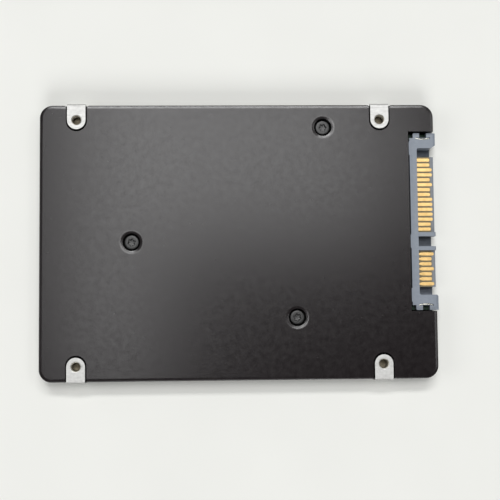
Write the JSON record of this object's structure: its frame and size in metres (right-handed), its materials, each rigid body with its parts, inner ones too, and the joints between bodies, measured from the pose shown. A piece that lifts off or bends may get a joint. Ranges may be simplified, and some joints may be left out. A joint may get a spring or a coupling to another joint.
{
  "type": "solid state drive",
  "caption": "Flat rectangular solid state drive in a black metal case, with mounting holes, a screwed cover and a flush plug on one end.",
  "frame": {"origin": "middle of the drive on its label face, which lies on Z = 0", "axes": "+X towards the plug, +Y across the drive, +Z out of the mounting face with the cover and screws"},
  "size_m": [0.1002, 0.0698, 0.007],
  "materials": {
    "case_black": "satin black paint over a die casting, pads machined bare",
    "screw_black": "black zinc",
    "board_green": "solder mask over glass epoxy",
    "plug_grey": "moulded, fine matt",
    "contact_gold": "gold flash, polished",
    "tin_plate": "bright tin plate",
    "chip_black": "matt moulding compound",
    "thermal_pad_grey": "soft silicone",
    "ferrite_grey": "pressed ferrite",
    "tantalum_yellow": "moulded epoxy",
    "ceramic_tan": "fired ceramic",
    "ceramic_white": "glazed ceramic"
  },
  "bodies": {
    "root": {"base_case": "case_black", "cover": "case_black", "cover_screws": "screw_black", "circuit_board": "board_green", "connector_housing": "plug_grey", "power_contacts": "contact_gold", "signal_contacts": "contact_gold", "connector_hold_downs": "tin_plate", "controller_chip": "chip_black", "dram_chip": "chip_black", "flash_chips_cover_side": "chip_black", "flash_chips_base_side": "chip_black", "boot_flash_chip": "chip_black", "power_management_chip": "chip_black", "load_switch": "chip_black", "controller_thermal_pad": "thermal_pad_grey", "dram_thermal_pad": "thermal_pad_grey", "flash_thermal_pads_cover_side": "thermal_pad_grey", "flash_thermal_pads_base_side": "thermal_pad_grey", "power_inductors": "ferrite_grey", "tantalum_capacitors": "tantalum_yellow", "ceramic_capacitors": "ceramic_tan", "chip_resistors": "chip_black", "clock_crystal": "tin_plate", "surge_suppressor": "chip_black", "fuse": "ceramic_white"}
  },
  "joints": []
}
